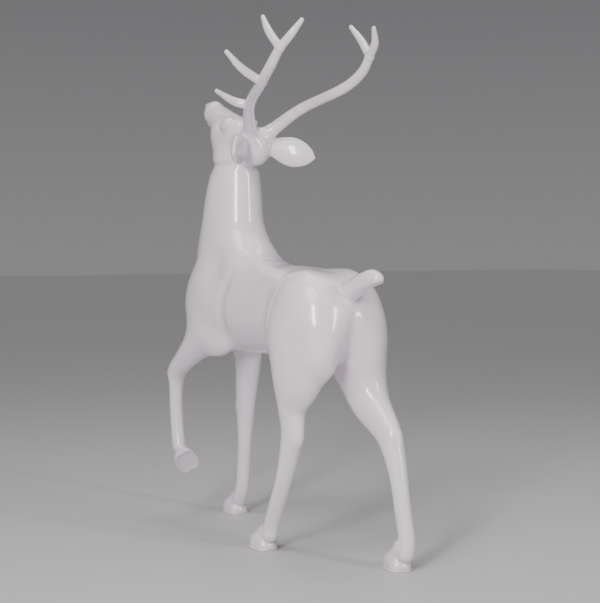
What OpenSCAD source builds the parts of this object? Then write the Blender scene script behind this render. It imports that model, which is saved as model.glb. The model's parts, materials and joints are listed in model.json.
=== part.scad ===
// Standing display stag, life size, glass-fibre shells on a steel frame.
// Millimetres. The stag faces -Y, its left side is +X, and the floor is z = 0.
// The limbs are chains of beads: [x, y, z, radius, width factor]. Each chain is drawn
// twice, once at full size and once inset by the wall, so that every shell is hollow.

/* [Shells] */
// thickness of the glass-fibre walls
wall = 5; // [3:0.5:7]
// gap that the inner boards leave for their bonding resin
bond_gap = 0.4; // [0.2:0.1:1]

/* [Seams] */
// height of the seam between body and neck
neck_seam = 1080; // [1075:1:1090]
// height of the seam between neck and head
head_seam = 1420; // [1415:1:1425]
// height of the seam on top of the front legs
front_leg_seam = 690; // [686:1:692]
// height of the seam on top of the hind legs
hind_leg_seam = 640; // [636:1:645]
// height of the hooves above the soles
hoof_height = 72; // [70:1:74]

/* [Antlers] */
// radius of the steel peg on each antler
peg_radius = 8; // [6:0.5:9]
// radial clearance of the peg in its socket
peg_clearance = 0.06; // [0.03:0.01:0.1]
// length of peg inside the head
peg_in_head = 52; // [40:1:55]
// length of peg inside the antler
peg_in_antler = 60; // [40:1:70]

/* [Feet] */
// thickness of the sole plates
sole_thickness = 8; // [6:1:9]
// wall radius of the thread in each foot, 4.25 for M10
thread_radius = 4.25; // [3.4:0.05:5.1]
// depth of the thread in each foot
thread_depth = 35; // [25:1:38]

/* [Steel frame] */
// radius of the bent rod in each leg
rod_radius = 8; // [6:0.5:9]
// outer radius of the spine tube
spine_radius = 24; // [20:0.5:26]
// outer radius of the neck tube
neck_tube_radius = 21; // [18:0.5:22]
// wall of both tubes
tube_wall = 3; // [2:0.5:4]

/* [Hidden] */

white = [0.93, 0.92, 0.92];
rim_white = [0.86, 0.85, 0.84];
steel = [0.62, 0.63, 0.65];
plywood = [0.72, 0.56, 0.38];
bead_facets = 20;
leg_facets = 16;
antler_facets = 12;
edge_facets = 24;
round_facets = 48;
far = 2000;

// how far the footprint's middle lies behind the zero of the chains below
middle_y = 106.5;

trunk = [
  [0, -290, 880, 150, 0.95], [0, -190, 868, 168, 0.95], [0, -30, 866, 172, 0.95],
  [0, 140, 866, 166, 0.96], [0, 290, 866, 160, 1.0], [0, 430, 858, 150, 1.1]
];
withers = [[0, 60, 980, 45, 1.5], [0, -60, 1015, 78, 1.4], [0, -180, 1115, 94, 1.1]];
neck = [
  [0, -290, 950, 165, 0.75], [0, -272, 1060, 162, 0.72], [0, -250, 1170, 150, 0.74],
  [0, -240, 1280, 134, 0.76], [0, -220, 1400, 104, 0.82], [0, -200, 1450, 90, 0.85]
];
head = [
  [0, -95, 1476, 76, 0.9], [0, -190, 1515, 80, 0.88], [0, -280, 1562, 68, 0.8],
  [0, -355, 1608, 53, 0.82], [0, -388, 1630, 49, 0.85]
];
jaw = [[0, -225, 1452, 92, 0.88], [0, -285, 1528, 75, 0.85]];
pedicle = [[28, -80, 1500, 38, 1], [48, -35, 1538, 25, 1]];
// shoulder and haunch: centre, radii, forward lean
shoulder = [[80, -290, 862], [78, 135, 180], -14];
haunch = [[92, 425, 815], [98, 148, 205], 18];

front_left_leg = [
  [95, -285, 770, 80, 0.8], [108, -330, 720, 65, 0.85], [118, -420, 650, 45, 1],
  [120, -485, 600, 40, 1], [120, -500, 540, 30, 1], [120, -500, 450, 27, 1],
  [120, -490, 350, 27, 1], [124, -468, 290, 28, 1]
];
front_right_leg = [
  [-95, -300, 760, 85, 0.8], [-105, -310, 640, 60, 0.85], [-110, -330, 520, 44, 1],
  [-110, -337, 440, 38, 1], [-110, -345, 300, 28, 1], [-112, -365, 130, 27, 1],
  [-112, -393, 60, 29, 1]
];
hind_left_leg = [
  [115, 365, 770, 100, 0.8], [122, 384, 650, 86, 0.8], [122, 375, 540, 56, 0.85],
  [120, 372, 440, 46, 0.8], [118, 325, 300, 31, 1], [115, 265, 180, 29, 1],
  [113, 225, 100, 29, 1], [113, 212, 60, 30, 1]
];
hind_right_leg = [
  [-115, 430, 770, 110, 0.8], [-118, 455, 660, 95, 0.85], [-118, 504, 560, 76, 0.85],
  [-120, 610, 455, 52, 0.8], [-120, 662, 340, 33, 1], [-120, 690, 220, 29, 1],
  [-120, 714, 110, 29, 1], [-116, 712, 60, 30, 1]
];
// the left ear, a leaf drawn upright at zero, then leaned out along ear_axis
ear_root = [60, -60, 1480];
ear_axis = unit([115, 122, -46]);
ear = [
  [0, 0, 0, 24, 0.8], [0, 0, 45, 45, 0.5], [0, 0, 90, 55, 0.42],
  [0, 0, 130, 41, 0.42], [0, 0, 160, 18, 0.5], [0, 0, 174, 7, 0.8]
];
tail_line = [[0, 545, 940, 34, 0.95], [0, 620, 975, 33, 0.9], [0, 685, 990, 32, 0.9], [0, 700, 990, 28, 0.9]];

antler_beam = [
  [48, -35, 1538, 25, 1], [113, 75, 1614, 20, 1], [173, 258, 1673, 19, 1],
  [191, 349, 1721, 18, 1], [189, 403, 1773, 16, 1]
];
antler_tines = [
  [[113, 75, 1614, 18, 1], [160, 42, 1628, 16, 1], [229, 37, 1661, 8, 1]],
  [[173, 258, 1673, 18, 1], [245, 242, 1718, 15, 1], [299, 232, 1771, 8, 1]],
  [[189, 403, 1773, 15, 1], [196, 344, 1835, 14, 1], [187, 290, 1893, 8, 1]],
  [[189, 403, 1773, 15, 1], [175, 452, 1812, 14, 1], [150, 480, 1858, 8, 1]]
];

// bends of the rod in each leg
front_left_rod = [
  [82, -286, 890], [95, -286, 780], [118, -420, 650], [120, -485, 598], [120, -499, 540],
  [120, -499, 450], [120, -490, 350], [121, -472, 296]
];
front_right_rod = [
  [-82, -286, 890], [-95, -286, 780], [-105, -310, 640], [-110, -337, 440], [-110, -345, 300],
  [-112, -365, 130], [-112, -388, 85], [-112, -391, 57]
];
hind_left_rod = [
  [85, 372, 890], [110, 372, 770], [122, 372, 540], [120, 370, 440], [118, 325, 300],
  [115, 265, 180], [113, 211, 95], [113, 204, 57]
];
hind_right_rod = [
  [-85, 402, 890], [-110, 402, 770], [-118, 450, 660], [-118, 508, 560], [-120, 610, 455],
  [-120, 661, 340], [-120, 690, 220], [-118, 712, 120], [-106, 705, 85], [-104.4, 704, 57]
];

// middle of each sole
front_right_sole = [-112, -425, 0];
hind_left_sole = [113, 170, 0];
hind_right_sole = [-116, 672, 0];
// the hind right foot is turned out by this angle
hind_right_turn = -20;
raised_sole = [120, -413, 237];
// the raised foot: the way its sole faces, and the way its toes point
raised_sole_faces = [0.14, 0.87, -0.47];
raised_toes_point = [-0.6, -0.31, -0.75];
// where the thread lies behind a sole's middle
insert_back = 34;
insert_radius = 13;
insert_top = 52;

board = 12;
shoulder_board_y = -306;
hip_board_y = 381;
spine_z = 900;
weld_bead = 0.6;
spine_front = -330;
spine_back = 450;
neck_tube_y = -225;
bolt_radius = 4;
flange_bolt_ys = [-370, -130];

antler_axis = unit(antler_beam[1] - antler_beam[0]);
antler_foot = xyz(antler_beam[0]);

function xyz(row) = [row[0], row[1], row[2]];
function unit(row) = xyz(row) / norm(xyz(row));

// ---------- drawing helpers ----------

module placed() {
  translate([0, -middle_y, 0]) children();
}

module bead(row, inset, facets) {
  across = (row[3] * row[4] - inset) / (row[3] - inset);
  translate(xyz(row)) scale([across, 1, 1]) sphere(r = row[3] - inset, $fn = facets);
}

module limb(rows, inset = 0, facets = bead_facets) {
  for (i = [0 : len(rows) - 2]) {
    hull() {
      bead(rows[i], inset, facets);
      bead(rows[i + 1], inset, facets);
    }
  }
}

module muscle(mass, side, inset) {
  centre = mass[0];
  radii = mass[1];
  translate([side * centre[0], centre[1], centre[2]])
    rotate([mass[2], 0, 0])
      scale([radii[0] - inset, radii[1] - inset, radii[2] - inset])
        sphere(r = 1, $fn = bead_facets);
}

// stands what is drawn up the Z axis at a point, leaned over along a direction
module leaned(point, way) {
  translate(point) rotate([0, acos(way[2] / norm(way)), atan2(way[1], way[0])]) children();
}

// a round bar or bore from one point to another
module bar(from, to, r, facets = round_facets) {
  leaned(from, to - from) cylinder(r = r, h = norm(to - from), $fn = facets);
}

module bent_rod(points) {
  for (i = [0 : len(points) - 2]) bar(points[i], points[i + 1], rod_radius);
  for (i = [1 : len(points) - 2]) translate(points[i]) sphere(r = rod_radius + weld_bead, $fn = round_facets);
}

module level_slab(low, high) {
  translate([-far / 2, -far / 2, low]) cube([far, far, high - low]);
}

module one_side(side) {
  translate([side > 0 ? 0 : -far, -far / 2, -far]) cube([far, far, 2 * far]);
}

module on_right() {
  mirror([1, 0, 0]) children();
}

// ---------- the whole stag, at full size or inset ----------

module body_form(inset) {
  limb(trunk, inset);
  limb(withers, inset);
  limb(neck, inset);
  for (side = [-1, 1]) {
    muscle(shoulder, side, inset);
    muscle(haunch, side, inset);
  }
}

module head_form(inset) {
  limb(head, inset);
  limb(jaw, inset);
  limb(pedicle, inset);
  on_right() limb(pedicle, inset);
}

module legs_form(inset) {
  limb(front_left_leg, inset, leg_facets);
  limb(front_right_leg, inset, leg_facets);
  limb(hind_left_leg, inset, leg_facets);
  limb(hind_right_leg, inset, leg_facets);
}

module stag_form(inset) {
  body_form(inset);
  head_form(inset);
  legs_form(inset);
}

module stag_wall() {
  difference() {
    stag_form(0);
    stag_form(wall);
  }
}

// ---------- regions between the seams ----------

module torso_region() {
  difference() {
    level_slab(hind_leg_seam, neck_seam);
    translate([-far / 2, -far, hind_leg_seam]) cube([far, far + middle_y, front_leg_seam - hind_leg_seam]);
  }
}

module leg_region(side, front) {
  seam = front ? front_leg_seam : hind_leg_seam;
  foot = side > 0 && front ? raised_sole[2] : hoof_height;
  translate([side > 0 ? 0 : -far, front ? middle_y - far : middle_y, foot]) cube([far, far, seam - foot]);
}

module beyond_antler_foot() {
  bar(antler_foot, antler_foot + 300 * antler_axis, 60);
}

// ---------- shells ----------

module torso_shell(side) {
  color(white) render() difference() {
    intersection() {
      stag_wall();
      torso_region();
      one_side(side);
    }
    tail_pin_bar(0.3);
  }
}

module neck_shell(side) {
  color(white) render() intersection() {
    stag_wall();
    level_slab(neck_seam, head_seam);
    one_side(side);
  }
}

module head_shell(side) {
  color(white) render() difference() {
    intersection() {
      stag_wall();
      level_slab(head_seam, far);
      one_side(side);
    }
    mirror([side > 0 ? 0 : 1, 0, 0]) {
      beyond_antler_foot();
      ear_pin_bar(0.3);
    }
  }
}

module leg_shell(rows, side, front) {
  color(white) render() intersection() {
    difference() {
      limb(rows, 0, leg_facets);
      limb(rows, wall, leg_facets);
    }
    leg_region(side, front);
  }
}

module leg_front_right_shell() { leg_shell(front_right_leg, -1, true); }
module leg_hind_left_shell() { leg_shell(hind_left_leg, 1, false); }
module leg_hind_right_shell() { leg_shell(hind_right_leg, -1, false); }
module leg_front_left_shell() {
  difference() {
    leg_shell(front_left_leg, 1, true);
    raised_foot() translate([-far / 2, -far / 2, hoof_height - far]) cube(far);
  }
}

// ---------- feet: each is drawn with its sole's middle at zero ----------

module raised_foot() {
  up = -unit(raised_sole_faces);
  back = -unit(raised_toes_point - (raised_toes_point * up) * up);
  across = cross(back, up);
  translate(raised_sole)
    multmatrix([
      [across[0], back[0], up[0], 0], [across[1], back[1], up[1], 0], [across[2], back[2], up[2], 0], [0, 0, 0, 1]
    ]) children();
}

module hind_right_foot() {
  translate(hind_right_sole) rotate([0, 0, hind_right_turn]) children();
}

module claw(side) {
  hull() {
    translate([side * 20, -34, sole_thickness]) cylinder(r = 25, h = 8, $fn = edge_facets);
    translate([side * 20, 26, sole_thickness]) cylinder(r = 26, h = 12, $fn = edge_facets);
    translate([side * 15, -14, 44]) sphere(r = 21, $fn = edge_facets);
    translate([side * 8, 32, hoof_height - 6]) cylinder(r = 28, h = 6, $fn = edge_facets);
  }
}

module hoof() {
  color(white) difference() {
    union() {
      claw(1);
      claw(-1);
    }
    translate([0, insert_back, 0]) cylinder(r = insert_radius + 0.05, h = far, $fn = round_facets);
  }
}

module raised_hoof() {
  color(white) difference() {
    union() {
      claw(1);
      claw(-1);
    }
    translate([0, 20, 50]) cylinder(r = rod_radius + 6, h = far, $fn = round_facets);
  }
}

module sole_lobe(side) {
  hull() {
    translate([side * 20, -36, 0]) cylinder(r = 26, h = sole_thickness, $fn = edge_facets);
    translate([side * 20, 26, 0]) cylinder(r = 27, h = sole_thickness, $fn = edge_facets);
  }
}

module sole(hole) {
  color(rim_white) difference() {
    union() {
      sole_lobe(1);
      sole_lobe(-1);
    }
    if (hole) {
      translate([0, insert_back, -1])
        cylinder(r = thread_radius + 1.25, h = sole_thickness + 2, $fn = round_facets);
    }
  }
}

module foot_insert() {
  color(steel) translate([0, insert_back, sole_thickness]) difference() {
    cylinder(r = insert_radius, h = insert_top - sole_thickness, $fn = round_facets);
    translate([0, 0, -1]) cylinder(r = thread_radius, h = thread_depth + 1, $fn = round_facets);
  }
}

// ---------- ears and tail ----------

module ear_pin_bar(gap) {
  bar(ear_root - 30 * ear_axis, ear_root + 50 * ear_axis, 4 + gap, edge_facets);
}

module ear_left() {
  color(white) render() difference() {
    leaned(ear_root, ear_axis) rotate([0, 0, 90]) limb(ear, 0, leg_facets);
    stag_form(0);
    ear_pin_bar(0.3);
  }
}

module ear_pin_left() {
  color(steel) ear_pin_bar(0);
}

module tail_pin_bar(gap) {
  bar([0, 470, 905], [0, 650, 980], 6 + gap, edge_facets);
}

module tail() {
  color(white) render() difference() {
    limb(tail_line, 0, leg_facets);
    stag_form(0);
    tail_pin_bar(0.3);
  }
}

module tail_pin() {
  color(steel) tail_pin_bar(0);
}

module tail_block() {
  color(plywood) render() difference() {
    intersection() {
      stag_form(wall + bond_gap);
      translate([-40, 480, 880]) cube([80, 200, 90]);
    }
    tail_pin_bar(0.3);
  }
}

// ---------- inner boards and bands ----------

module upright_board(y, low) {
  color(plywood) render() difference() {
    intersection() {
      stag_form(wall + bond_gap);
      translate([-far / 2, y, low]) cube([far, board, neck_seam - 60 - low]);
    }
    bar([0, y - 1, spine_z], [0, y + board + 1, spine_z], spine_radius + bond_gap);
  }
}

module shoulder_board() { upright_board(shoulder_board_y, 790); }
module hip_board() { upright_board(hip_board_y, 720); }

module level_board(low) {
  color(plywood) render() difference() {
    intersection() {
      stag_form(wall + bond_gap);
      level_slab(low, low + board);
    }
    translate([0, neck_tube_y, low - 1]) cylinder(r = neck_tube_radius + bond_gap, h = board + 2, $fn = edge_facets);
    for (y = flange_bolt_ys) {
      translate([0, y, low - 1]) cylinder(r = bolt_radius + bond_gap, h = board + 2, $fn = edge_facets);
    }
  }
}

module neck_flange_lower() { level_board(neck_seam - board); }
module neck_flange_upper() { level_board(neck_seam); }

module flange_bolt(y) {
  color(steel) translate([0, y, neck_seam - board]) {
    translate([0, 0, -6]) cylinder(r = 7.5, h = 6, $fn = 6);
    cylinder(r = bolt_radius, h = 2 * board, $fn = round_facets);
    translate([0, 0, 2 * board]) cylinder(r = 7.5, h = 6, $fn = 6);
  }
}

module head_board() {
  color(plywood) render() difference() {
    intersection() {
      stag_form(wall + bond_gap);
      level_slab(head_seam + 20, head_seam + 20 + board);
    }
    translate([0, neck_tube_y, head_seam]) cylinder(r = neck_tube_radius + bond_gap, h = 60, $fn = edge_facets);
  }
}

// the strip laid inside a centre seam, within a box given by its near and far corners in Y and Z
module seam_band(near, beyond) {
  color(rim_white) render() intersection() {
    difference() {
      stag_form(wall + bond_gap);
      stag_form(wall + bond_gap + 3);
    }
    translate([-25, near[0], near[1]]) cube([50, beyond[0] - near[0], beyond[1] - near[1]]);
  }
}

module back_seam_band() { seam_band([0, 940], [hip_board_y - 1, neck_seam - 60]); }
module belly_seam_band() { seam_band([shoulder_board_y + board + 1, 600], [hip_board_y - 1, 800]); }
module throat_seam_band() { seam_band([-far, neck_seam + board + 1], [neck_tube_y, head_seam]); }
module nape_seam_band() { seam_band([neck_tube_y, neck_seam + board + 1], [far, head_seam]); }

// ---------- steel frame ----------

module spine_tube() {
  color(steel) difference() {
    bar([0, spine_front, spine_z], [0, spine_back, spine_z], spine_radius);
    bar([0, spine_front - 1, spine_z], [0, spine_back + 1, spine_z], spine_radius - tube_wall);
  }
}

module neck_clamp() {
  color(steel) difference() {
    translate([-35, neck_tube_y - 32, spine_z - 34]) cube([70, 64, 98]);
    bar([0, spine_front, spine_z], [0, spine_back, spine_z], spine_radius + 0.05);
    translate([0, neck_tube_y, spine_z + 30]) cylinder(r = neck_tube_radius + 0.05, h = 60, $fn = round_facets);
  }
}

module neck_tube() {
  top = head_seam + 20 + board;
  color(steel) translate([0, neck_tube_y, spine_z + 30]) difference() {
    cylinder(r = neck_tube_radius, h = top - spine_z - 30, $fn = round_facets);
    translate([0, 0, -1]) cylinder(r = neck_tube_radius - tube_wall, h = top, $fn = round_facets);
  }
}

module leg_rod(points) {
  color(steel) bent_rod(points);
}

// ---------- antlers ----------

module antler_socket_left() {
  bottom = antler_foot - (peg_in_head + 4) * antler_axis;
  color(steel) difference() {
    union() {
      bar(bottom, antler_foot, peg_radius + peg_clearance + 3);
      bar(antler_foot - 4 * antler_axis, antler_foot, 18);
    }
    bar(antler_foot - peg_in_head * antler_axis, antler_foot + antler_axis, peg_radius + peg_clearance);
  }
}

module antler_peg_left() {
  color(steel)
    bar(antler_foot - (peg_in_head - 1) * antler_axis, antler_foot + peg_in_antler * antler_axis, peg_radius);
}

module antler_left() {
  color(white) render() difference() {
    union() {
      limb(antler_beam, 0, antler_facets);
      for (tine = antler_tines) limb(tine, 0, antler_facets);
    }
    bar(antler_foot - 60 * antler_axis, antler_foot + 0.1 * antler_axis, 60);
    bar(antler_foot, antler_foot + (peg_in_antler + 0.5) * antler_axis, peg_radius + 0.3, edge_facets);
  }
}

// ---------- what is drawn ----------

placed() torso_shell(1);  // torso_left_shell
placed() torso_shell(-1);  // torso_right_shell
placed() neck_shell(1);  // neck_left_shell
placed() neck_shell(-1);  // neck_right_shell
placed() head_shell(1);  // head_left_shell
placed() head_shell(-1);  // head_right_shell
placed() leg_front_left_shell();
placed() leg_front_right_shell();
placed() leg_hind_left_shell();
placed() leg_hind_right_shell();
placed() raised_foot() raised_hoof();  // hoof_front_left
placed() translate(front_right_sole) hoof();  // hoof_front_right
placed() translate(hind_left_sole) hoof();  // hoof_hind_left
placed() hind_right_foot() hoof();  // hoof_hind_right
placed() raised_foot() sole(false);  // sole_front_left
placed() translate(front_right_sole) sole(true);  // sole_front_right
placed() translate(hind_left_sole) sole(true);  // sole_hind_left
placed() hind_right_foot() sole(true);  // sole_hind_right
placed() ear_left();
placed() on_right() ear_left();  // ear_right
placed() ear_pin_left();
placed() on_right() ear_pin_left();  // ear_pin_right
placed() tail();
placed() tail_pin();
placed() tail_block();
placed() spine_tube();
placed() shoulder_board();
placed() hip_board();
placed() neck_clamp();
placed() neck_tube();
placed() neck_flange_lower();
placed() neck_flange_upper();
placed() flange_bolt(flange_bolt_ys[0]);  // flange_bolt_front
placed() flange_bolt(flange_bolt_ys[1]);  // flange_bolt_back
placed() head_board();
placed() back_seam_band();
placed() belly_seam_band();
placed() throat_seam_band();
placed() nape_seam_band();
placed() leg_rod(front_left_rod);  // leg_rod_front_left
placed() leg_rod(front_right_rod);  // leg_rod_front_right
placed() leg_rod(hind_left_rod);  // leg_rod_hind_left
placed() leg_rod(hind_right_rod);  // leg_rod_hind_right
placed() translate(front_right_sole) foot_insert();  // foot_insert_front_right
placed() translate(hind_left_sole) foot_insert();  // foot_insert_hind_left
placed() hind_right_foot() foot_insert();  // foot_insert_hind_right
placed() antler_socket_left();
placed() on_right() antler_socket_left();  // antler_socket_right
placed() antler_left();
placed() on_right() antler_left();  // antler_right
placed() antler_peg_left();
placed() on_right() antler_peg_left();  // antler_peg_right
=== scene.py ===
# %% [markdown]
# # A glossy display stag
# The real object is a life-size stag of white gel-coated glass fibre on a hidden steel frame.
# Its moulds were taken from a clay original, so its forms are those of clay: masses laid over a
# skeleton and smoothed into each other. This lesson builds it the same way. A form is described
# by distances to simple masses, the masses are blended, and a skin is drawn round the result.
# The skin is then cut along the same seams as the real mouldings.

# %% Load the frame
import json
import math

import bmesh
import bpy
import numpy as np
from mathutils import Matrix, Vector

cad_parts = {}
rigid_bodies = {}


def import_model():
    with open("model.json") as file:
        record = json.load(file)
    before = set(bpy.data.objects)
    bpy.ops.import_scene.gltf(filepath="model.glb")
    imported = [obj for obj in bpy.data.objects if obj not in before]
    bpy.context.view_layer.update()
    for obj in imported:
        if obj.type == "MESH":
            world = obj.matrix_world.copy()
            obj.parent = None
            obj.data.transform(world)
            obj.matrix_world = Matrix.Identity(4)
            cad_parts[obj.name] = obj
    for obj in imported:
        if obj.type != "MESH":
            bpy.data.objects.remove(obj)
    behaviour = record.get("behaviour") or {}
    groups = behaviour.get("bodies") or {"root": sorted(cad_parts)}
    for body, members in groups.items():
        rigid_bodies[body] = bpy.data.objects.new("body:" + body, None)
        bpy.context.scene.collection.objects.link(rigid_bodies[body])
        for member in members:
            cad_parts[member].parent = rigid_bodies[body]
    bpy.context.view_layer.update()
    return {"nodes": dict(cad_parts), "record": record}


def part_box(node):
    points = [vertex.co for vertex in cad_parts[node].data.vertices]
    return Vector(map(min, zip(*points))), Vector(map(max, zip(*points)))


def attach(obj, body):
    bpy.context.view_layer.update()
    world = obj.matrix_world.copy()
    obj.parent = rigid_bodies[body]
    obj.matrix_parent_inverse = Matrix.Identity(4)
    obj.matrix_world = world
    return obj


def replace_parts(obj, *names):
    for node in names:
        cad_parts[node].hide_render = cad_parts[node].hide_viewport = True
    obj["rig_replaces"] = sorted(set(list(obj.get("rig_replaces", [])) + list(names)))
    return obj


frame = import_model()
STAG = "stag"  # the body that everything but the antlers rides on

# %% [markdown]
# ## Places come from the frame
# The masses below are given in millimetres from the stag's own zero point, which lies on the
# floor under its withers. The spine tube starts 330 mm in front of that point, so one look at
# the tube's box tells where the zero is. Seams, hooves and pegs are read from their boxes too.


# %% Zero point and seam heights
def low(node):
    return np.array(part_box(node)[0])


def high(node):
    return np.array(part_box(node)[1])


def middle(node):
    return (low(node) + high(node)) / 2


SPINE_FRONT = 0.330
ZERO = np.array([0.0, low("spine_tube")[1] + SPINE_FRONT, 0.0])
NECK_SEAM = low("neck_left_shell")[2]
HEAD_SEAM = low("head_left_shell")[2]
FRONT_LEG_SEAM = high("leg_front_right_shell")[2]
HIND_LEG_SEAM = high("leg_hind_right_shell")[2]
HOOF_TOP = low("leg_front_right_shell")[2]
SOLE_TOP = high("sole_front_right")[2]
print("zero", ZERO.round(4), "seams", NECK_SEAM, HEAD_SEAM, FRONT_LEG_SEAM, HIND_LEG_SEAM)


# %% [markdown]
# ## Camera
# A long lens from behind the stag's left side, at chest height and tipped down a little.

# %% Place the camera
CAMERA_OFFSET = Vector((2.471, 4.043, 1.10))
CAMERA_TURN = 147.0
CAMERA_TIP = 2.53
SENSOR = 36.0
LENS = 75.0
VIEW_END = 100.0


def make_camera():
    """Camera angles are in degrees: its turn about the upright, and how far it tips down."""
    data = bpy.data.cameras.new("camera")
    data.sensor_width = SENSOR
    data.lens = LENS
    data.clip_end = VIEW_END
    camera = bpy.data.objects.new("camera", data)
    bpy.context.scene.collection.objects.link(camera)
    camera.location = CAMERA_OFFSET + Vector(ZERO)
    turn, tip = math.radians(CAMERA_TURN), math.radians(CAMERA_TIP)
    back = Vector((math.sin(turn) * math.cos(tip), -math.cos(turn) * math.cos(tip), math.sin(tip)))
    camera.rotation_mode = "QUATERNION"
    camera.rotation_quaternion = (-back).to_track_quat("-Z", "Y")
    bpy.context.scene.camera = camera
    return camera


camera = make_camera()
print("camera at", [round(c, 3) for c in camera.location])

# %% [markdown]
# ## Floor and light
# White lacquer shows its shape by what it mirrors. Two tall soft boxes give the bright strips
# down the neck and haunch, a wide one overhead rounds the back, and a dim room fills the rest.


# %% Studio
def soft_box(name, place, aim, size, power):
    data = bpy.data.lights.new(name, "AREA")
    data.shape = "RECTANGLE"
    data.size, data.size_y = size
    data.energy = power
    light = bpy.data.objects.new(name, data)
    bpy.context.scene.collection.objects.link(light)
    light.location = place
    light.rotation_mode = "QUATERNION"
    light.rotation_quaternion = (Vector(aim) - Vector(place)).to_track_quat("-Z", "Y")
    return light


def round_camera(degrees, distance, height):
    """A point at that angle from the camera's side of the stag, to the camera's right if positive."""
    turn = math.radians(CAMERA_TURN + degrees)
    return (math.sin(turn) * distance, -math.cos(turn) * distance, height)


CHEST = (0, 0, 1.0)
soft_box("strip_left", round_camera(-20, 4.6, 2.3), CHEST, (0.7, 2.4), 205)
soft_box("strip_right", round_camera(52, 4.2, 1.9), CHEST, (0.35, 2.4), 75)
soft_box("overhead", (-0.4, -0.2, 4.2), CHEST, (2.6, 2.6), 60)


def make_room():
    """A room that is pale at floor level and darker overhead, as a studio with its lamps lit is."""
    world = bpy.data.worlds.new("room")
    world.use_nodes = True
    tree = world.node_tree
    background = tree.nodes["Background"]
    split = tree.nodes.new("ShaderNodeSeparateXYZ")
    tree.links.new(tree.nodes.new("ShaderNodeTexCoord").outputs["Generated"], split.inputs["Vector"])
    shade = tree.nodes.new("ShaderNodeValToRGB")
    shade.color_ramp.elements[0].position, shade.color_ramp.elements[1].position = 0.0, 0.45
    shade.color_ramp.elements[0].color = (0.25, 0.246, 0.254, 1)
    shade.color_ramp.elements[1].color = (0.07, 0.068, 0.073, 1)
    tree.links.new(split.outputs["Z"], shade.inputs["Fac"])
    tree.links.new(shade.outputs["Color"], background.inputs["Color"])
    bpy.context.scene.world = world


def make_sky_light():
    data = bpy.data.lights.new("ceiling", "SUN")
    data.energy, data.angle = 1.45, math.radians(35)  # a wide soft sun, as from a ceiling of lamps
    light = bpy.data.objects.new("ceiling", data)
    bpy.context.scene.collection.objects.link(light)
    light.rotation_mode = "QUATERNION"
    light.rotation_quaternion = (-Vector(round_camera(-35, 1.0, 1.5))).to_track_quat("-Z", "Y")


FLOOR_HALF = 40.0


def make_floor():
    mesh = bpy.data.meshes.new("floor")
    corners = [(x * FLOOR_HALF, y * FLOOR_HALF, 0) for x, y in ((-1, -1), (1, -1), (1, 1), (-1, 1))]
    mesh.from_pydata(corners, [], [(0, 1, 2, 3)])
    floor = bpy.data.objects.new("floor", mesh)
    bpy.context.scene.collection.objects.link(floor)
    material = bpy.data.materials.new("pale_floor")
    material.use_nodes = True
    surface = material.node_tree.nodes["Principled BSDF"]
    surface.inputs["Base Color"].default_value = (0.50, 0.49, 0.50, 1)
    surface.inputs["Roughness"].default_value = 0.55
    mesh.materials.append(material)


make_room()
make_sky_light()
make_floor()
print("lights", sorted(light.name for light in bpy.data.lights))

# %% [markdown]
# ## Clay masses
# A mass answers one question: how far is a point from its surface? A chain is a bone with flesh
# of changing thickness round it. A ball is an ellipsoid muscle. Joining two masses takes the
# smaller distance, and smoothing near the place where both are equal gives the soft fillet that
# a thumb leaves in clay. Cutting one away gives a groove. Sculpt mode could give the same forms,
# but not from a script that must make the same stag each time.


# %% How masses join
MM = 0.001
FAR_AWAY = 9.0  # metres, further than any part of the stag


def smooth_join(a, b, reach):
    if reach <= 0:
        return np.minimum(a, b)
    mix = np.clip(0.5 + 0.5 * (b - a) / reach, 0, 1)
    return b + (a - b) * mix - reach * mix * (1 - mix)


def smooth_cut(a, b, reach):
    """What is left of a when b is cut away from it."""
    return -smooth_join(-a, b, reach)


NEAR_ROOM, WIDE_ROOM = 0.028, 0.085
CLEAR_OF_ALL = 0.5


class Clay:
    """Masses joined or cut away one after another. Reaches are in millimetres.

    Points that are known to lie close to the surface only need the masses right beside them.
    """

    def __init__(self):
        self.steps = []
        self.low, self.high = np.full(3, FAR_AWAY), np.full(3, -FAR_AWAY)

    def add(self, mass, reach=0.0):
        self.steps.append((mass, reach * MM, smooth_join))
        self.low, self.high = np.minimum(self.low, mass.low), np.maximum(self.high, mass.high)

    def cut(self, mass, reach=0.0):
        self.steps.append((mass, reach * MM, smooth_cut))

    def distance(self, points, close=False):
        total = np.full(len(points), CLEAR_OF_ALL)
        for mass, reach, join in self.steps:
            room = reach + NEAR_ROOM if close else WIDE_ROOM
            near = ((points > mass.low - room) & (points < mass.high + room)).all(1)
            if near.any():
                total[near] = join(total[near], mass.distance(points[near], close), reach)
        return total


# %% Chains of beads
BEADS_BETWEEN = 8  # beads from one given row to the next
BEAD_ROOM = 1.3  # how far a bead may reach, in its own radii


def rounded_path(rows, steps=BEADS_BETWEEN):
    """Extra rows between the given ones, on a smooth curve through all of them."""
    rows = np.asarray(rows, float)
    ends = np.vstack([2 * rows[0] - rows[1], rows, 2 * rows[-1] - rows[-2]])
    out = []
    for i in range(len(rows) - 1):
        p0, p1, p2, p3 = ends[i : i + 4]
        for t in np.linspace(0, 1, steps, endpoint=False):
            bend = 2 * p0 - 5 * p1 + 4 * p2 - p3
            twist = 3 * p1 - p0 - 3 * p2 + p3
            out.append(0.5 * (2 * p1 + (p2 - p0) * t + bend * t * t + twist * t**3))
    out.append(rows[-1])
    return np.array(out)


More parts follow.
